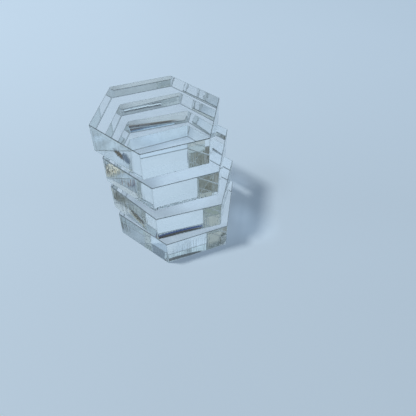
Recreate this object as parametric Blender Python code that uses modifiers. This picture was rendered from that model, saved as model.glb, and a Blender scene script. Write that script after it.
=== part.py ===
"""Stack of four clear acrylic hexagonal tiles, standing like a small stepped tower.

Metres, +Z up.  The origin is the centre of the bottom tile's underside, on the
table.  The bottom tile has corners on +X and -X and a flat side facing -Y (the
front).  Each tile above is set further back towards +Y and turned a little
clockwise from the bottom one, seen from above.
"""
import math

import bpy
from mathutils import Matrix

# ---- tile -----------------------------------------------------------------
ACROSS_FLATS = 0.0300                           # flat side to opposite flat side
CORNER_RADIUS = ACROSS_FLATS / math.sqrt(3.0)   # centre to corner
THICKNESS = 0.0080
EDGE_BREAK = 0.00018                # how far the rounding reaches from each edge
EDGE_SEGMENTS = 2
EDGE_MIN_ANGLE = math.radians(30.0)             # only sharper edges are rounded

# ---- stack ----------------------------------------------------------------
AIR_GAP = 0.0001                                # between neighbouring tiles
STOREY_PITCH = THICKNESS + AIR_GAP              # underside to underside
ORIGIN_MARKER_SIZE = 0.01

# Lowest tile first: name, x and y of its centre (m), twist about +Z (degrees),
# colour (RGBA), slightly paler towards the top
TILES = (
    ("tile_bottom", 0.00000, 0.00000, 0.0, (0.84, 0.90, 0.90, 1.0)),
    ("tile_second", -0.00041, 0.00170, -4.3, (0.85, 0.91, 0.91, 1.0)),
    ("tile_third", -0.00069, 0.00491, -1.4, (0.86, 0.91, 0.92, 1.0)),
    ("tile_top", -0.00189, 0.00849, -1.2, (0.87, 0.92, 0.93, 1.0)),
)

# ---- clear acrylic: Principled BSDF inputs shared by every tile -------------
ACRYLIC_SETTINGS = {
    "Roughness": 0.05,              # polished faces
    "Metallic": 0.0,
    "IOR": 1.49,
    "Transmission Weight": 1.0,     # fully see-through
}


def clear_scene():
    for data_blocks in (bpy.data.meshes, bpy.data.collections):
        # objects go first, so that nothing still uses the data removed here
        for obj in list(bpy.data.objects):
            bpy.data.objects.remove(obj, do_unlink=True)
        for block in list(data_blocks):
            data_blocks.remove(block)


def make_acrylic(name, colour):
    """Clear acrylic with a faint tint."""
    material = bpy.data.materials.new(name)
    material.use_nodes = True
    inputs = material.node_tree.nodes["Principled BSDF"].inputs
    inputs["Base Color"].default_value = colour
    for setting, value in ACRYLIC_SETTINGS.items():
        inputs[setting].default_value = value
    material.diffuse_color = colour     # solid viewport display
    return material


def round_edges(tile):
    """Round the twelve rim edges and the six upright corner edges."""
    bevel = tile.modifiers.new("edge_break", "BEVEL")
    bevel.width = EDGE_BREAK
    bevel.segments = EDGE_SEGMENTS
    bevel.limit_method = "ANGLE"
    bevel.angle_limit = EDGE_MIN_ANGLE


def make_hex_tile(name):
    """One solid hexagonal tile, with its origin at the centre of its underside."""
    bpy.ops.mesh.primitive_cylinder_add(
        vertices=6, radius=CORNER_RADIUS, depth=THICKNESS, end_fill_type="NGON")
    tile = bpy.context.active_object
    tile.name = name
    tile.data.name = name
    # The primitive is centred on its origin with corners on +Y and -Y:
    # turn the corners to -X and +X, then lift the underside to the origin.
    corners_to_x = Matrix.Rotation(math.radians(90.0), 4, "Z")
    underside_to_origin = Matrix.Translation((0.0, 0.0, THICKNESS / 2.0))
    tile.data.transform(underside_to_origin @ corners_to_x)
    round_edges(tile)
    return tile


def move_to_collection(obj, collection):
    for old in list(obj.users_collection):
        old.objects.unlink(obj)
    collection.objects.link(obj)


def main():
    clear_scene()
    collection = bpy.data.collections.new("hex_tile_stack")
    bpy.context.scene.collection.children.link(collection)

    stack_origin = bpy.data.objects.new("stack_origin", None)
    stack_origin.empty_display_size = ORIGIN_MARKER_SIZE
    collection.objects.link(stack_origin)

    for storey, (name, x, y, twist, colour) in enumerate(TILES):
        tile = make_hex_tile(name)
        tile.parent = stack_origin
        tile.location = (x, y, storey * STOREY_PITCH)
        tile.rotation_euler = (0.0, 0.0, math.radians(twist))
        move_to_collection(tile, collection)
        tile.data.materials.append(make_acrylic(name + "_acrylic", colour))


main()
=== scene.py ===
"""Four clear laser-cut acrylic hexagons, stacked flat on a pale table.

Metres, +Z up, with the table top at z = 0. Each tile takes its place, twist and size from
its CAD node. The cut itself is described in millimetres: "along" runs round the outline,
and z runs from the tile's underside to its top.
"""

import math
import random

import bpy
from mathutils import Matrix, Vector


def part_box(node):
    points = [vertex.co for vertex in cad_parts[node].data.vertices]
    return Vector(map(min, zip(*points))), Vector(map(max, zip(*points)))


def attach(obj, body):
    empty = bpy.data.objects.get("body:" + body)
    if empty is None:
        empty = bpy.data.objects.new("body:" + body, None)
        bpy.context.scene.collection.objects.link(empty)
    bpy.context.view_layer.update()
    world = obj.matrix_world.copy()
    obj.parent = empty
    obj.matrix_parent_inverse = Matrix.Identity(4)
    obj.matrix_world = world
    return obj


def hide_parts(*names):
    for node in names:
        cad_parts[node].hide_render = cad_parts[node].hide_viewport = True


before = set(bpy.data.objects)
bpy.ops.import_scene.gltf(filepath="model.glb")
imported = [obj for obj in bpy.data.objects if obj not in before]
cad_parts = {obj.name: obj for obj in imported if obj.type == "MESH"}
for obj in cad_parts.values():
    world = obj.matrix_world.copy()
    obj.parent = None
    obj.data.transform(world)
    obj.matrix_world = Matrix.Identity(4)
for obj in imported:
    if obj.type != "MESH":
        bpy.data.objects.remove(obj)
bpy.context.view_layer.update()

MM = 0.001
MM_PER_METRE = 1000.0

# ---------------------------------------------------------------------------
# shader graphs
# ---------------------------------------------------------------------------


def operator(operation, swapped=False):
    """A Python operator that adds a math node."""
    def apply(self, other):
        operands = (other, self) if swapped else (self, other)
        return self.graph.math(operation, *operands)
    return apply


class Value:
    """An output socket that takes part in Python arithmetic."""

    def __init__(self, graph, socket):
        self.graph = graph
        self.socket = socket

    __add__ = operator("ADD")
    __radd__ = operator("ADD", swapped=True)
    __sub__ = operator("SUBTRACT")
    __rsub__ = operator("SUBTRACT", swapped=True)
    __mul__ = operator("MULTIPLY")
    __truediv__ = operator("DIVIDE")
    __rpow__ = operator("POWER", swapped=True)
    __gt__ = operator("GREATER_THAN")
    __lt__ = operator("LESS_THAN")

    def __abs__(self):
        return self.graph.math("ABSOLUTE", self)

    def smooth(self, low, high):
        """0 below low, 1 above high, smooth between."""
        inputs = {"Value": self, "From Min": low, "From Max": high}
        return self.graph.add("MapRange", inputs, interpolation_type="SMOOTHSTEP")

    def fade(self, low, high):
        """1 below low, 0 above high, smooth between."""
        return 1.0 - self.smooth(low, high)


class Graph:
    """The emptied node tree of a material or world; colours are given as (r, g, b)."""

    def __init__(self, owner):
        owner.use_nodes = True
        self.tree = owner.node_tree
        self.tree.nodes.clear()

    def new(self, kind, inputs, **settings):
        """A node; inputs maps socket names or numbers to constants or Values."""
        node = self.tree.nodes.new("ShaderNode" + kind)
        for name, setting in settings.items():
            setattr(node, name, setting)
        for key, value in inputs.items():
            socket = node.inputs[key]
            if isinstance(value, Value):
                self.tree.links.new(value.socket, socket)
            elif socket.type == "RGBA":
                socket.default_value = (*value, 1.0)
            else:
                socket.default_value = value
        return node

    def add(self, kind, inputs, output=0, **settings):
        """A new node's output."""
        return Value(self, self.new(kind, inputs, **settings).outputs[output])

    def source(self, kind, **settings):
        """A node without inputs, as a function from output name to Value."""
        outputs = self.new(kind, {}, **settings).outputs
        return lambda name: Value(self, outputs[name])

    def math(self, operation, *operands):
        return self.add("Math", dict(enumerate(operands)), operation=operation)

    def mix(self, factor, first, second):
        return self.add("Mix", {0: factor, 2: first, 3: second}, data_type="FLOAT")

    def blend(self, factor, first, second, blend_type="MIX"):
        """A mix of two colours."""
        return self.add("Mix", {0: factor, 6: first, 7: second}, output=2,
                        data_type="RGBA", blend_type=blend_type)

    def multiply(self, first, second):
        return self.blend(1.0, first, second, "MULTIPLY")

    def filtered(self, mask, colour, tint):
        """The colour, multiplied by tint where mask is 1."""
        return self.blend(mask, colour, self.multiply(colour, tint))

    def mix_shader(self, factor, first, second):
        return self.add("MixShader", {0: factor, 1: first, 2: second})

    def xyz(self, vector):
        outputs = self.new("SeparateXYZ", {0: vector}).outputs
        return [Value(self, outputs[axis]) for axis in range(3)]

    def vector(self, x, y, z):
        return self.add("CombineXYZ", {0: x, 1: y, 2: z})

    def grey(self, value):
        return self.vector(value, value, value)

    def length(self, x, y):
        """Length of the vector (x, y)."""
        return self.add("VectorMath", {0: self.vector(x, y, 0.0)}, output="Value",
                        operation="LENGTH")

    def noise(self, vector, scale, detail=3.0, rough=0.5, distort=0.0):
        return self.add("TexNoise", {"Vector": vector, "Scale": scale, "Detail": detail,
                                     "Roughness": rough, "Distortion": distort})

    def streaks(self, x, y, rates, offset, detail, rough):
        """Noise over (x, y) that changes at its own rate in each direction."""
        place = self.vector(x * rates[0], y * rates[1], offset)
        return self.noise(place, scale=1.0, detail=detail, rough=rough)

    def attribute(self, name):
        return self.add("Attribute", {}, output="Fac", attribute_name=name)

    def bump(self, height, distance):
        return self.add("Bump", {"Distance": distance, "Height": height})

    def finish(self, kind, shader):
        self.new(kind, {"Surface": shader})


# ---------------------------------------------------------------------------
# where each tile is
# ---------------------------------------------------------------------------

CORNER_BAND = 0.0002   # m, vertices this close to the farthest one count as corners


def hexagon_of(node):
    """Centre (x, y), bottom and top z, twist in radians and half width across the flats."""
    low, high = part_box(node)
    points = [vertex.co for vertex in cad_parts[node].data.vertices]
    centre_x = sum(point.x for point in points) / len(points)
    centre_y = sum(point.y for point in points) / len(points)
    offsets = [(point.x - centre_x, point.y - centre_y) for point in points]
    reach = max(math.hypot(x, y) for x, y in offsets)
    sine = cosine = 0.0
    for x, y in offsets:
        if math.hypot(x, y) > reach - CORNER_BAND:
            angle = math.atan2(y, x) * 6.0
            sine += math.sin(angle)
            cosine += math.cos(angle)
    twist = math.atan2(sine, cosine) / 6.0
    normal_x, normal_y = math.cos(twist + math.pi / 6), math.sin(twist + math.pi / 6)
    half_width = max(x * normal_x + y * normal_y for x, y in offsets)
    return Vector((centre_x, centre_y)), low.z, high.z, twist, half_width


# ---------------------------------------------------------------------------
# tile mesh, in mm
# ---------------------------------------------------------------------------

TILE_HEIGHT = 8.0
SIDE = 17.2            # about one side's share of the outline, for placing chips
FIT_GAP = 0.0006       # taken off the half width
CORNER_R = 0.30        # rounding of the six upright corners
CORNER_STEPS = 5
RIM_R = 0.13           # rounding of the top and bottom rims
RIM_STEPS = 3
STEP = 0.15            # along the cut
CAP_INSET = CORNER_R - 0.01
LINE_FADE = 0.6        # the cut lines die out this near a corner
# the "edge" attribute holds how worn the rims, corners and chips are, which sets their
# roughness and also their painted shade
RIM_WEAR_AND_SHADE = 0.35        # reach of the "edge" attribute from the rims
CORNER_WEAR_AND_SHADE = 0.25     # and from the corners
SIDE_COARSENESS = (1.5, 0.30, 1.0, 1.0, 0.22, 1.5)   # strength of each side's cut lines

# heights of the wall's rows, measured from the underside and from the top
LOWER_ROWS = (0.22, 0.32, 0.44, 0.58, 0.74, 0.92, 1.15, 1.7, 2.4, 3.2)
UPPER_ROWS = (3.2, 2.4, 1.7, 1.2, 0.8, 0.5, 0.3)


def outline(half_width, twist):
    """Points round the tile, as (x, y, normal x, normal y, along, distance to the nearest
    corner, side), and the length of the outline."""
    trim = CORNER_R * math.tan(math.pi / 6)
    length = 2.0 * half_width * math.tan(math.pi / 6) - 2 * trim
    steps = max(8, int(round(length / STEP)))
    points = []
    start = 0.0
    for side in range(6):
        facing = twist + math.pi / 6 + side * math.pi / 3
        normal_x, normal_y = math.cos(facing), math.sin(facing)
        run_x, run_y = -normal_y, normal_x
        for i in range(steps):
            run = -length / 2 + length * i / steps
            points.append((normal_x * half_width + run_x * run,
                           normal_y * half_width + run_y * run,
                           normal_x, normal_y, start + (run + length / 2),
                           min(run + length / 2, length / 2 - run), side))
        start += length
        corner_x = normal_x * (half_width - CORNER_R) + run_x * length / 2
        corner_y = normal_y * (half_width - CORNER_R) + run_y * length / 2
        for i in range(CORNER_STEPS):
            angle = facing + (math.pi / 3) * i / CORNER_STEPS
            x, y = math.cos(angle), math.sin(angle)
            points.append((corner_x + CORNER_R * x, corner_y + CORNER_R * y, x, y,
                           start + CORNER_R * (math.pi / 3) * i / CORNER_STEPS, 0.0, side))
        start += CORNER_R * math.pi / 3
    return points, start


def cut_profile(height):
    """(z, inset) rows from the underside to the top, both rims rounded; the first and last
    lie inside the flat faces, so that the worn rims and their painted shade stop there."""
    angles = [math.pi / 2 * i / RIM_STEPS for i in range(RIM_STEPS + 1)]
    rim = [(RIM_R * (1 - math.cos(angle)), RIM_R * (1 - math.sin(angle))) for angle in angles]
    rows = [(0.0, CAP_INSET)] + rim
    rows += [(z, 0.0) for z in LOWER_ROWS]
    rows += [(height - z, 0.0) for z in UPPER_ROWS]
    rows += [(height - z, inset) for z, inset in reversed(rim)]
    rows.append((height, CAP_INSET))
    return rows


def draw_waves(rng, total, count, lengths, strengths):
    """Random waves that close round the outline: (length, rate, phase, strength)."""
    waves = []
    for _ in range(count):
        length = rng.uniform(*lengths)
        repeats = max(1, round(total / length))
        waves.append((length, 2 * math.pi * repeats / total, rng.uniform(0, 2 * math.pi),
                      rng.uniform(*strengths)))
    return waves


def laser_cut(seed, total):
    """A function for how deep the cut lines are at (along, z)."""
    rng = random.Random(seed)
    fine = [(rate, phase, strength * 0.00070 * length) for length, rate, phase, strength
            in draw_waves(rng, total, 9, lengths=(0.55, 1.25), strengths=(0.6, 1.3))]
    slow = [(rate, phase, strength * 0.0009) for _, rate, phase, strength
            in draw_waves(rng, total, 5, lengths=(2.6, 9.0), strengths=(0.6, 1.2))]
    crest = sum(wave[2] for wave in fine) + sum(wave[2] for wave in slow)

    def depth(along, z, height):
        drop = (height - z) / height
        lag = 0.20 * drop * drop             # the cut trails behind the head lower down
        growth = 0.35 + 0.65 * drop ** 1.5   # and is rougher towards the underside
        wave = 0.0
        for rate, phase, size in fine:
            wave += size * growth * math.sin(rate * (along + lag) + phase)
        for rate, phase, size in slow:
            wave += size * math.sin(rate * (along + 0.5 * lag) + phase + 0.10 * z)
        return crest - wave

    return depth


def draw_chips(seed, total, groups):
    """Small bites out of the rims: (along, z, radius, depth)."""
    rng = random.Random(seed * 7 + 3)
    chips = []
    for count, first_side, last_side, on_bottom, smallest, largest in groups:
        rim, inward = (0.0, 1) if on_bottom else (TILE_HEIGHT, -1)
        for _ in range(count):
            along = rng.uniform(first_side * SIDE, last_side * SIDE) % total
            radius = rng.uniform(smallest, largest)
            chips.append((along, rim + rng.uniform(-0.02, 0.10) * inward,
                          radius, radius * rng.uniform(0.3, 0.6)))
            # most large bites have a smaller one further in from the rim
            if radius > 0.17 and rng.random() < 0.8:
                chips.append((along + rng.uniform(-0.4, 0.4),
                              rim + rng.uniform(0.25, 0.95) * inward,
                              radius * 0.75, radius * 0.3))
    return chips


def bite_at(chips, along, z, total):
    """Depth of the chips at a point of the wall, and how worn they leave it, which also sets
    the painted shade on them.
    """
    depth = wear_and_shade = 0.0
    for chip_along, chip_z, radius, chip_depth in chips:
        gap = abs(along - chip_along)
        gap = min(gap, total - gap)
        inside = 1.0 - (gap * gap + (z - chip_z) ** 2) / (radius * radius)
        if inside > 0.0:
            depth += chip_depth * math.sqrt(inside)
            wear_and_shade = max(wear_and_shade, min(1.0, 0.6 + inside))
    return depth, wear_and_shade


def add_cut_uvs(mesh, places, total):
    """UV map "cut": (along, z) in mm, unwrapped past the seam."""
    layer = mesh.uv_layers.new(name="cut")
    for face in mesh.polygons:
        alongs = [places[index][0] for index in face.vertices]
        seam = len(alongs) == 4 and max(alongs) - min(alongs) > total / 2
        for loop in face.loop_indices:
            along, z = places[mesh.loops[loop].vertex_index]
            if seam and along < total / 2:
                along += total
            layer.data[loop].uv = (along, z)


def tile_slab(node, seed, chip_groups):
    """A slab with cut lines, softened rims and chips."""
    centre, bottom, top, twist, half_width = hexagon_of(node)
    height = (top - bottom) * MM_PER_METRE
    points, total = outline(half_width * MM_PER_METRE - FIT_GAP, twist)
    rows = cut_profile(height)
    cut_depth = laser_cut(seed, total)
    chips = draw_chips(seed, total, chip_groups)
    count, last = len(points), len(rows) - 1

    vertices, edge, coarse, places = [], [], [], []
    for row, (z, row_inset) in enumerate(rows):
        near = [chip for chip in chips if abs(chip[1] - z) < chip[2]]
        rim_wear_and_shade = max(0.0, 1.0 - min(z, height - z) / RIM_WEAR_AND_SHADE)
        for x, y, normal_x, normal_y, along, corner_gap, side in points:
            inset, wear_and_shade = row_inset, 0.0
            if 0 < row < last:
                fade = min(1.0, corner_gap / LINE_FADE)
                fade = fade * fade * (3 - 2 * fade) * SIDE_COARSENESS[side]
                bite, bite_wear_and_shade = bite_at(near, along, z, total)
                inset += cut_depth(along, z, height) * fade + bite
                corner_wear_and_shade = max(0.0, 1.0 - corner_gap / CORNER_WEAR_AND_SHADE)
                wear_and_shade = max(rim_wear_and_shade, corner_wear_and_shade * 0.6, bite_wear_and_shade)
            vertices.append((centre.x + (x - normal_x * inset) * MM,
                             centre.y + (y - normal_y * inset) * MM, bottom + z * MM))
            edge.append(wear_and_shade)
            coarse.append(SIDE_COARSENESS[side])
            places.append((along, z))

    faces, smooth = [], []
    for row in range(last):
        low, high = row * count, (row + 1) * count
        for i in range(count):
            j = (i + 1) % count
            faces.append((low + i, low + j, high + j, high + i))
            smooth.append(0 < row < last - 1)
    faces.append(tuple(range(count - 1, -1, -1)))
    faces.append(tuple(range(last * count, (last + 1) * count)))
    smooth += [False, False]

    mesh = bpy.data.meshes.new(node + "_slab")
    mesh.from_pydata(vertices, [], faces)
    mesh.polygons.foreach_set("use_smooth", smooth)
    add_cut_uvs(mesh, places, total)
    for label, values in (("edge", edge), ("coarse", coarse)):
        mesh.attributes.new(label, "FLOAT", "POINT").data.foreach_set("value", values)
    mesh.update()
    mesh.validate()
    slab = bpy.data.objects.new(node + "_slab", mesh)
    bpy.context.scene.collection.objects.link(slab)
    return slab


# ---------------------------------------------------------------------------
# acrylic
# ---------------------------------------------------------------------------

FACE_TINT = (0.994, 0.998, 1.0)
WALL_TINT = (0.955, 0.993, 1.0)
# painted shade of the rims: dark grey on top, near black on the undersides
UPPER_RIM_SHADE = (0.12, 0.125, 0.115)
LOWER_RIM_SHADE = (0.035, 0.04, 0.04)
WORN_ROUGHNESS = 0.12
ACRYLIC_IOR = 1.49
# how much lamp light passes in shadow rays
FACE_PASS, FRONT_WALL_PASS, BACK_WALL_PASS = 0.985, 0.08, 0.74


def lay_painted_marks(graph, tint, marks, u, v, wall, seed):
    """Lay the painted marks over the tint, with frayed outlines."""
    fray = graph.streaks(u, v, rates=(2.2, 1.1), offset=seed + 4.0, detail=3.0, rough=0.6)
    fray = (fray - 0.5) * 1.5
    comb = graph.streaks(u, v, rates=(3.6, 0.12), offset=seed + 2.0, detail=2.0, rough=0.6)
    comb = comb.smooth(0.47, 0.57)
    for along, z, half_along, half_z, slope, colour, strength, combed in marks:
        aside = u - along
        above = v - z - aside * slope
        distance = graph.length(aside / half_along, above / half_z)
        mask = (distance + fray).fade(0.55, 1.15) * wall * strength
        if combed:
            mask = mask * comb
        tint = graph.blend(mask, tint, colour)
    return tint


def acrylic(name, seed, marks):
    """Clear acrylic: polished faces, streaked cut walls with painted marks, dull rims darkened
    with painted shade.
    """
    material = bpy.data.materials.new(name)
    graph = Graph(material)
    geometry = graph.source("NewGeometry")
    u, v, _ = graph.xyz(graph.source("UVMap", uv_map="cut")("UV"))
    place = graph.source("TexCoord")("Object")
    normal_z = graph.xyz(geometry("True Normal"))[2]
    wall = abs(normal_z).fade(0.80, 0.98)
    edge = graph.attribute("edge")

    # upright cut lines, finer than the mesh holds
    lines = graph.streaks(u, v, rates=(2.6, 0.10), offset=float(seed), detail=1.5, rough=0.5)
    broad = graph.streaks(u, v, rates=(0.55, 0.16), offset=seed + 9.0, detail=2.0, rough=0.5)
    grain = graph.noise(place, scale=5200.0, detail=2.0)
    height = (lines * 0.0026 + grain * 0.00002) * wall * graph.attribute("coarse")
    normal = graph.bump(height, distance=0.001)

    # faint smears and hairlines on the faces, a little frosting on the walls
    smear = graph.noise(place, scale=160.0, detail=4.0, rough=0.6, distort=0.6)
    squeezed = graph.add("VectorMath", {0: place, 1: (1.0, 9.0, 1.0)}, operation="MULTIPLY")
    hairlines = graph.noise(squeezed, scale=900.0, rough=0.6)
    face_rough = smear.smooth(0.52, 0.78) * 0.02 + hairlines.smooth(0.62, 0.8) * 0.01
    wall_rough = lines.smooth(0.35, 0.75) * 0.012 + broad.smooth(0.45, 0.7) * 0.008
    worn = (edge + (grain - 0.5) * 0.4).smooth(0.55, 0.95)
    rough = graph.mix(worn, graph.mix(wall, face_rough, wall_rough), WORN_ROUGHNESS)

    tint = graph.blend(wall, FACE_TINT, WALL_TINT)
    # painted shade: the rims and chips are darkened where the edge attribute is high, the lower
    # rims most
    rim_shade = graph.blend(v.fade(0.5, 1.5), UPPER_RIM_SHADE, LOWER_RIM_SHADE)
    tint = graph.blend(edge.smooth(0.48, 0.85) * 0.9, tint, rim_shade)
    # painted shade, painted reflections of the dark room and a painted highlight, laid on the
    # cut walls
    tint = lay_painted_marks(graph, tint, marks, u, v, wall, seed)
    solid = graph.add("BsdfPrincipled", {
        "Base Color": tint, "Roughness": rough, "IOR": ACRYLIC_IOR,
        "Transmission Weight": 1.0, "Normal": normal})

    # lamps shine through the flat faces, and the walls turn their light away
    wall_pass = graph.mix(geometry("Backfacing"), FRONT_WALL_PASS, BACK_WALL_PASS)
    clear = graph.add("BsdfTransparent", {0: graph.grey(graph.mix(wall, FACE_PASS, wall_pass))})
    shadow_ray = graph.source("LightPath")("Is Shadow Ray")
    graph.finish("OutputMaterial", graph.mix_shader(shadow_ray, solid, clear))
    return material


# ---------------------------------------------------------------------------
# the four tiles
# ---------------------------------------------------------------------------

# node, body, seed, and groups of chips:
# (count, from side, to side, on the bottom rim?, smallest radius, largest radius)
TILES = (
    ("tile_bottom", "bottom", 11, ((7, 0, 6, True, 0.10, 0.22), (4, 0, 6, False, 0.08, 0.16))),
    ("tile_second", "second", 23, ((10, 0, 6, True, 0.10, 0.24), (5, 0, 6, False, 0.08, 0.16))),
    ("tile_third", "third", 37, ((34, 3.72, 4.12, True, 0.14, 0.34),
                                 (44, 4.05, 4.92, True, 0.12, 0.26),
                                 (10, 0, 6, True, 0.1, 0.2))),
    ("tile_top", "top", 53, ((8, 0, 6, True, 0.10, 0.22), (6, 0, 6, False, 0.08, 0.18))),
)

OLIVE = (0.11, 0.10, 0.045)
DARK_OLIVE = (0.05, 0.05, 0.03)
BROWN = (0.03, 0.015, 0.004)
# marks painted on the cut, in mm: the olive and dark olive ones are painted shade and painted
# reflections of the dark room, the grey combed ones are painted shade along the cut lines, the
# yellow one is a painted highlight, and the brown, bluish and near-black ones darken the wall:
# (along, z, half along, half z, slope, colour, strength, broken into upright lines?)
MARKS = {
    "tile_top": ((61.8, 4.0, 2.4, 1.3, -0.15, BROWN, 1.0, False),
                 (64.1, 4.0, 1.6, 1.9, -0.20, (0.05, 0.07, 0.10), 1.0, False),
                 (54.0, 3.5, 5.0, 4.5, 0.0, (0.45, 0.46, 0.42), 0.8, True),
                 (80.5, 4.2, 0.10, 3.0, 0.0, (0.03, 0.03, 0.03), 0.9, False)),
    "tile_third": ((54.6, 5.0, 4.5, 3.4, -0.15, DARK_OLIVE, 0.95, True),
                   (62.5, 3.4, 4.0, 2.5, -0.10, (0.30, 0.31, 0.27), 0.7, True)),
    # a painted yellow highlight
    "tile_second": ((61.2, 2.1, 3.4, 0.55, -0.28, (0.80, 0.62, 0.26), 1.0, False),
                    (61.4, 3.3, 3.3, 1.15, -0.28, BROWN, 1.0, False),
                    (54.5, 4.4, 4.0, 3.8, -0.10, DARK_OLIVE, 0.95, True),
                    (60.5, 5.4, 7.0, 2.6, -0.10, OLIVE, 0.85, True)),
    "tile_bottom": ((85.2, 2.6, 1.3, 3.2, 0.0, (0.08, 0.085, 0.06), 0.9, False),
                    (53.4, 4.4, 2.6, 3.8, 0.0, OLIVE, 0.9, True),
                    (76.5, 3.5, 8.0, 4.5, 0.0, (0.45, 0.46, 0.44), 0.7, True)),
}

for node, body, seed, chip_groups in TILES:
    slab = tile_slab(node, seed, chip_groups)
    slab.data.materials.append(acrylic(node + "_acrylic", seed, MARKS[node]))
    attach(slab, body)
    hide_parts(node)

# ---------------------------------------------------------------------------
# table
# ---------------------------------------------------------------------------

HEADING = math.radians(-24.29)   # the camera looks along +Y turned by this about +Z
HEADING_COS, HEADING_SIN = math.cos(HEADING), math.sin(HEADING)
BACKDROP = (0.56, 0.68, 0.80)

TABLE_HALF = 4.0
TABLE_DROP = 0.00003
# painted fill light: the table glows in this colour, stronger or weaker by place
TABLE_GLOW = (0.196, 0.271, 0.357)
FROM_REAR = (0.3, 0.5)   # range of a ray's incoming y over which it counts as from +Y

# painted pools of light under and beside the stack, and painted shade where the gain is below
# zero:
# (right, away from the camera, inner radius, outer radius, gain)
POOLS = (
    (0.0020, 0.0080, 0.008, 0.0145, 0.58), (-0.0070, 0.0230, 0.005, 0.0130, 0.14),
    (-0.0160, 0.0430, 0.006, 0.0180, 0.06), (0.0070, -0.0080, 0.003, 0.0110, 0.11),
    (0.0165, -0.0045, 0.001, 0.0090, 0.20), (0.0185, 0.0020, 0.001, 0.0055, 0.25),
    (0.0178, 0.0152, 0.001, 0.0050, 0.20), (0.0235, -0.0032, 0.001, 0.0085, 0.25),
    (0.0270, 0.0170, 0.001, 0.0130, -0.12),
)


def from_heading(right, away):
    """Scene x and y of a direction given right and away from the camera."""
    return (right * HEADING_COS - away * HEADING_SIN,
            right * HEADING_SIN + away * HEADING_COS)


def long_way(graph):
    """What is left of light that crossed many acrylic faces: a faint olive grey."""
    extra = graph.math("MAXIMUM", graph.source("LightPath")("Ray Depth") - 8.6, 0.0)
    extra = graph.math("MINIMUM", extra, 2.0)
    return graph.vector(0.870 ** extra, 0.870 ** extra, 0.835 ** extra)


def table_fill(graph, x, y):
    """Strength of the table's glow, which is painted fill light: more at the back and left,
    less near the camera, with painted pools of light and shade.
    """
    def approach(distance, rate):
        return graph.math("TANH", graph.math("MAXIMUM", distance, 0.0) * rate)

    right = x * HEADING_COS + y * HEADING_SIN
    away = y * HEADING_COS - x * HEADING_SIN
    back = approach(away - 0.008, rate=12.0)
    left = approach(right * -1.0, rate=18.0)
    near = approach(-0.012 - away, rate=30.0)
    fill = back * 0.26 + left * 0.09 + near * -0.07 + 1.0
    for pool_right, pool_away, inner, outer, gain in POOLS:
        distance = graph.length(right - pool_right, away - pool_away)
        fill = fill + distance.fade(inner, outer) * gain
    return fill


def table_filter(graph, x, y, path):
    """Colour by which the table is multiplied as seen through the stack: painted shade and
    painted light.
    """
    ray_x, ray_y, _ = graph.xyz(graph.source("NewGeometry")("Incoming"))
    depth = path("Ray Depth")

    # painted shade: a dark strip under the stack, which only the mirror of its back walls shows
    slit_shade = ray_y.smooth(*FROM_REAR) * (depth > 7.5) * (depth < 10.5)
    slit_shade = slit_shade * y.smooth(0.0086, 0.0090) * y.fade(0.0100, 0.0103)
    slit_shade = slit_shade * (1.0 - x.smooth(0.0045, 0.0085) * 0.9)
    slit_shade_colour = graph.blend(y.smooth(0.0089, 0.0093), (0.34, 0.24, 0.11),
                              (0.075, 0.030, 0.013))
    seen = graph.blend(slit_shade, (1.0, 1.0, 1.0), slit_shade_colour)
    seen = graph.multiply(seen, long_way(graph))

    # painted light: light off the rear walls is brighter and bluer, but warm at low y
    tone = graph.blend(depth > 5.5, (1.07, 1.10, 1.13), (1.22, 1.27, 1.31))
    tone = graph.blend(y.smooth(0.0095, 0.0102), (1.03, 0.985, 0.925), tone)
    seen = graph.filtered(ray_y.smooth(*FROM_REAR), seen, tone)

    # painted shade: for a narrow range of directions the table is dimmer
    turn = ray_x / graph.length(ray_x, ray_y)
    aside = turn.smooth(-0.46, -0.42) - turn.smooth(-0.30, -0.24)
    aside = aside * ray_y.smooth(*FROM_REAR) * (1.0 - path("Is Camera Ray"))
    return graph.filtered(aside, seen, (0.88, 0.88, 0.86))


def table_laminate():
    material = bpy.data.materials.new("table_laminate")
    graph = Graph(material)
    place = graph.source("TexCoord")("Object")
    path = graph.source("LightPath")
    x, y, _ = graph.xyz(place)
    cloud = graph.noise(place, scale=9.0)
    speck = graph.noise(place, scale=700.0, detail=2.0)
    colour = graph.blend(cloud.smooth(0.35, 0.7), (0.79, 0.81, 0.81), (0.805, 0.825, 0.825))
    seen = table_filter(graph, x, y, path)
    surface = graph.add("BsdfPrincipled", {
        "Base Color": graph.multiply(colour, seen),
        "Roughness": graph.mix(cloud, 0.42, 0.55),
        "Specular IOR Level": 0.0,
        # the glow is painted fill light, dimmed and brightened by the painted shade and light
        # of table_filter
        "Emission Color": graph.multiply(TABLE_GLOW, seen),
        "Emission Strength": table_fill(graph, x, y),
        "Normal": graph.bump(speck, distance=0.00002)})
    # far off it runs up into the backdrop
    sweep = graph.add("Emission", {0: BACKDROP})
    far = graph.length(x, y).smooth(0.17, 0.60) * path("Is Camera Ray")
    graph.finish("OutputMaterial", graph.mix_shader(far, surface, sweep))
    return material


def add_table():
    mesh = bpy.data.meshes.new("table")
    corners = [(x * TABLE_HALF, y * TABLE_HALF, 0)
               for x, y in ((-1, -1), (1, -1), (1, 1), (-1, 1))]
    mesh.from_pydata(corners, [], [(0, 1, 2, 3)])
    table = bpy.data.objects.new("table", mesh)
    table.location.z = -TABLE_DROP
    bpy.context.scene.collection.objects.link(table)
    mesh.materials.append(table_laminate())


add_table()

# ---------------------------------------------------------------------------
# room
# ---------------------------------------------------------------------------

# patches whose brightness is most uneven: (azimuth, half width, bottom, top, softness)
UNEVEN = ((-3.0, 13.0, 35.0, 60.0, 2.0), (52.0, 12.0, 34.0, 58.0, 3.0),
          (136.0, 30.0, 34.0, 56.0, 3.0), (-108.0, 10.0, 34.0, 56.0, 3.0))
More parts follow.
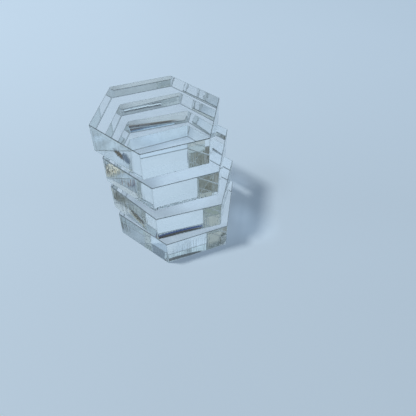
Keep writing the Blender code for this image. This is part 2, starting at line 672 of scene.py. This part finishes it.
# courses of stripes: (azimuth from, to, elevation from, to)
AHEAD = (-12.0, 0.5, 51.8, 50.2)
AHEAD_HIGH = (-11.0, -1.5, 54.9, 53.7)
AHEAD_LOW = (-11.0, -3.0, 47.95, 47.0)
BEHIND = (144.0, 155.0, 35.97, 37.15)
BEHIND_LOW = (140.0, 151.0, 33.5, 34.5)
# (course, half thickness, softness, shift up, taper, colour)
STRIPES = (
    (AHEAD, 0.11, 0.10, -0.27, 0.06, (0.02, 0.045, 0.17)),
    (AHEAD, 0.20, 0.10, -0.01, 0.18, (0.035, 0.032, 0.03)),
    (AHEAD, 0.08, 0.12, 0.33, 0.04, (0.26, 0.17, 0.08)),
    (AHEAD_HIGH, 0.12, 0.15, 0.0, 0.0, (0.09, 0.11, 0.13)),
    (AHEAD_LOW, 0.08, 0.12, 0.0, 0.0, (0.17, 0.22, 0.27)),
    (BEHIND, 0.34, 0.20, 0.40, 0.0, (0.60, 0.86, 1.20)),
    (BEHIND, 0.09, 0.08, -0.03, 0.0, (0.10, 0.21, 0.41)),
)
TRIPLE_STRIPE = (
    (BEHIND_LOW, 0.055, 0.06, -0.16, 0.0, (0.03, 0.035, 0.035)),
    (BEHIND_LOW, 0.055, 0.06, 0.01, 0.0, (0.62, 0.78, 0.92)),
    (BEHIND_LOW, 0.055, 0.06, 0.18, 0.0, (0.03, 0.04, 0.05)),
)


class Sky:
    """World colour painted by azimuth (0 away from the camera, positive to its right) and
    elevation, both in degrees."""

    def __init__(self, graph):
        self.graph = graph
        x, y, z = graph.xyz(graph.source("TexCoord")("Generated"))
        azimuth = graph.math("ARCTAN2", x, y) * (180.0 / math.pi) + math.degrees(HEADING)
        self.azimuth = graph.math("WRAP", azimuth, 180.0, -180.0)
        self.elevation = graph.math("ARCSINE", z) * (180.0 / math.pi)

    def turn(self, centre):
        """Azimuth from centre, -180 to 180."""
        return self.graph.math("WRAP", self.azimuth - centre, 180.0, -180.0)

    def patch(self, centre, half, bottom, top, soft):
        mask = abs(self.turn(centre)).fade(half - soft, half + soft)
        mask = mask * self.elevation.smooth(bottom - soft, bottom + soft)
        return mask * self.elevation.fade(top - soft, top + soft)

    def stripe(self, course, half, soft, shift, taper):
        """A thin tilted stripe; taper is how much thinner it is at its end."""
        start, end, start_height, end_height = course
        span = end - start
        run = self.turn(start)
        middle = (start_height + shift) + run * ((end_height - start_height) / span)
        distance = abs(self.elevation - middle) + run * (taper / span)
        mask = distance.fade(half, half + soft) * run.smooth(-0.8, 0.2)
        return mask * run.fade(span - 0.2, span + 1.0)

    def paint(self, mask, colour):
        self.colour = self.graph.blend(mask, self.colour, colour)

    def paint_patches(self, rows):
        """rows: (azimuth, half width, bottom, top, softness, colour)"""
        for *place, colour in rows:
            self.paint(self.patch(*place), colour)

    def paint_stripes(self, rows):
        for *place, colour in rows:
            self.paint(self.stripe(*place), colour)


def mottle(sky):
    """Uneven brightness, as of a lived-in room."""
    graph = sky.graph
    uneven = sky.patch(*UNEVEN[0])
    for row in UNEVEN[1:]:
        uneven = graph.math("MAXIMUM", uneven, sky.patch(*row))
    noise = graph.streaks(sky.azimuth, sky.elevation, rates=(0.55, 0.60), offset=3.7,
                          detail=2.0, rough=0.6)
    brightness = 1.0 + (noise - 0.5) * graph.mix(uneven, 0.35, 1.7)
    sky.colour = graph.multiply(sky.colour, graph.grey(brightness))


def add_room():
    """A plain soft studio with the dark shapes that show the edges of clear acrylic."""
    world = bpy.data.worlds.new("studio")
    bpy.context.scene.world = world
    graph = Graph(world)
    sky = Sky(graph)
    elevation = sky.elevation
    streak = graph.streaks(sky.azimuth, elevation, rates=(1.5, 0.25), offset=8.1,
                           detail=1.0, rough=0.5).smooth(0.40, 0.62)

    def streaked(dark, light):
        return graph.blend(streak, dark, light)

    # walls, paler on the right, and the ceiling
    sky.colour = graph.blend(elevation.smooth(36.0, 52.0), (0.325, 0.43, 0.535),
                             (0.265, 0.36, 0.435))
    sky.paint_patches([(66.0, 36.0, -5.0, 60.0, 14.0, (0.375, 0.485, 0.575))])
    sky.paint(elevation.smooth(58.0, 80.0), (0.26, 0.34, 0.41))
    sky.paint_patches([
        (53.0, 6.0, 40.3, 44.5, 0.7, (0.36, 0.43, 0.41)),
        (51.6, 4.4, 40.2, 42.2, 0.4, streaked((0.05, 0.05, 0.035), (1.15, 1.15, 0.92))),
        (150.5, 1.3, 41.5, 42.35, 0.25, streaked((0.03, 0.025, 0.015), (0.20, 0.18, 0.12))),
        (157.0, 5.5, 43.0, 49.5, 1.2, (0.245, 0.315, 0.35)),
        (158.5, 2.6, 43.3, 46.0, 0.5, streaked((0.07, 0.075, 0.055), (0.30, 0.33, 0.29))),
        (148.45, 0.45, 43.1, 44.3, 0.2, (0.07, 0.10, 0.19)),
        (149.2, 0.35, 43.1, 44.2, 0.2, (0.15, 0.10, 0.055)),
        (-1.5, 7.5, 52.2, 58.0, 0.4, (0.41, 0.55, 0.66)),
        (-12.8, 3.8, 52.2, 58.0, 0.4, (0.14, 0.195, 0.26)),
    ])
    mottle(sky)
    sky.paint_patches([
        (-8.0, 9.0, 39.0, 43.5, 1.2, (0.50, 0.65, 0.81)),
        (-9.5, 5.5, 35.4, 37.3, 0.6, (0.20, 0.26, 0.33)),
    ])
    for *place, tint in ((149.0, 11.0, 28.0, 35.4, 0.6, (0.98, 0.93, 0.86)),
                         (145.0, 7.0, 32.9, 35.4, 0.4, (0.86, 0.86, 0.88))):
        sky.colour = graph.filtered(sky.patch(*place), sky.colour, tint)
    # flags beside the camera, on both sides
    flag = streaked((0.10, 0.115, 0.105), (0.31, 0.365, 0.385))
    sky.paint_patches([
        (129.0, 9.0, 38.5, 46.8, 0.5, flag),
        (139.5, 4.5, 46.8, 54.0, 1.5, (0.29, 0.38, 0.40)),
        (-108.5, 6.0, 37.8, 54.0, 0.6, flag),
    ])
    sky.paint_stripes(STRIPES)
    # a brown stripe, cut off level along its lower side
    brown = sky.stripe(BEHIND, half=0.46, soft=0.08, shift=-0.60, taper=0.0)
    sky.paint(brown * elevation.smooth(35.95, 36.10), (0.065, 0.030, 0.014))
    sky.paint_stripes(TRIPLE_STRIPE)

    painted = graph.multiply(sky.colour, long_way(graph))
    room = graph.add("Background", {0: painted, 1: 1.0})
    plain = graph.add("Background", {0: BACKDROP})
    camera_ray = graph.source("LightPath")("Is Camera Ray")
    graph.finish("OutputWorld", graph.mix_shader(camera_ray, room, plain))
    world.cycles_visibility.diffuse = False


add_room()

# ---------------------------------------------------------------------------
# lamp, camera and render settings
# ---------------------------------------------------------------------------

KEY_DIRECTION = (-0.5, 0.0, 1.0)   # right, away from the camera, up
KEY_DISTANCE = 0.9
KEY_SIZE = 0.13
KEY_ENERGY = 3.65
KEY_COLOUR = (0.80, 0.91, 1.0)

CAMERA_PLACE = (0.00864, -0.08310)   # right and away, from the bottom tile's centre
CAMERA_HEIGHT = 0.09517
CAMERA_PITCH = math.radians(47.7)    # downwards
CAMERA_ROLL = math.radians(1.9)


def add_key_light():
    """The main light, high on the left; the table's own glow is the fill."""
    right, away, rise = KEY_DIRECTION
    direction = Vector((*from_heading(right, away), rise)).normalized()
    lamp = bpy.data.lights.new("key", "AREA")
    lamp.shape = "DISK"
    lamp.size = KEY_SIZE
    lamp.energy = KEY_ENERGY
    lamp.color = KEY_COLOUR
    lamp.cycles.use_multiple_importance_sampling = False
    key = bpy.data.objects.new("key", lamp)
    key.location = direction * KEY_DISTANCE
    key.rotation_mode = "QUATERNION"
    key.rotation_quaternion = direction.to_track_quat("Z", "Y")
    key.visible_glossy = False
    key.visible_transmission = False
    bpy.context.scene.collection.objects.link(key)


def add_camera():
    low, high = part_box("tile_bottom")
    x, y = from_heading(*CAMERA_PLACE)
    forward = Vector((-HEADING_SIN * math.cos(CAMERA_PITCH),
                      HEADING_COS * math.cos(CAMERA_PITCH), -math.sin(CAMERA_PITCH)))
    level = Vector((HEADING_COS, HEADING_SIN, 0.0))
    upright = level.cross(forward)
    right = level * math.cos(CAMERA_ROLL) + upright * math.sin(CAMERA_ROLL)
    up = -level * math.sin(CAMERA_ROLL) + upright * math.cos(CAMERA_ROLL)
    data = bpy.data.cameras.new("camera")
    data.sensor_width = 36.0
    data.lens = 36.42
    data.clip_start, data.clip_end = 0.002, 50.0
    camera = bpy.data.objects.new("camera", data)
    camera.matrix_world = Matrix((
        (right.x, up.x, -forward.x, (low.x + high.x) / 2 + x),
        (right.y, up.y, -forward.y, (low.y + high.y) / 2 + y),
        (right.z, up.z, -forward.z, CAMERA_HEIGHT),
        (0, 0, 0, 1)))
    bpy.context.scene.collection.objects.link(camera)
    bpy.context.scene.camera = camera


add_key_light()
add_camera()

scene = bpy.context.scene
scene.view_settings.view_transform = "Standard"
cycles = scene.cycles
cycles.max_bounces = 48
cycles.transmission_bounces = 48
cycles.glossy_bounces = 24
cycles.diffuse_bounces = 3
cycles.transparent_max_bounces = 48
cycles.caustics_refractive = False
cycles.caustics_reflective = False
cycles.sample_clamp_indirect = 6.0
cycles.blur_glossy = 0.0
cycles.use_denoising = True
cycles.denoiser = "OPENIMAGEDENOISE"
cycles.use_adaptive_sampling = False
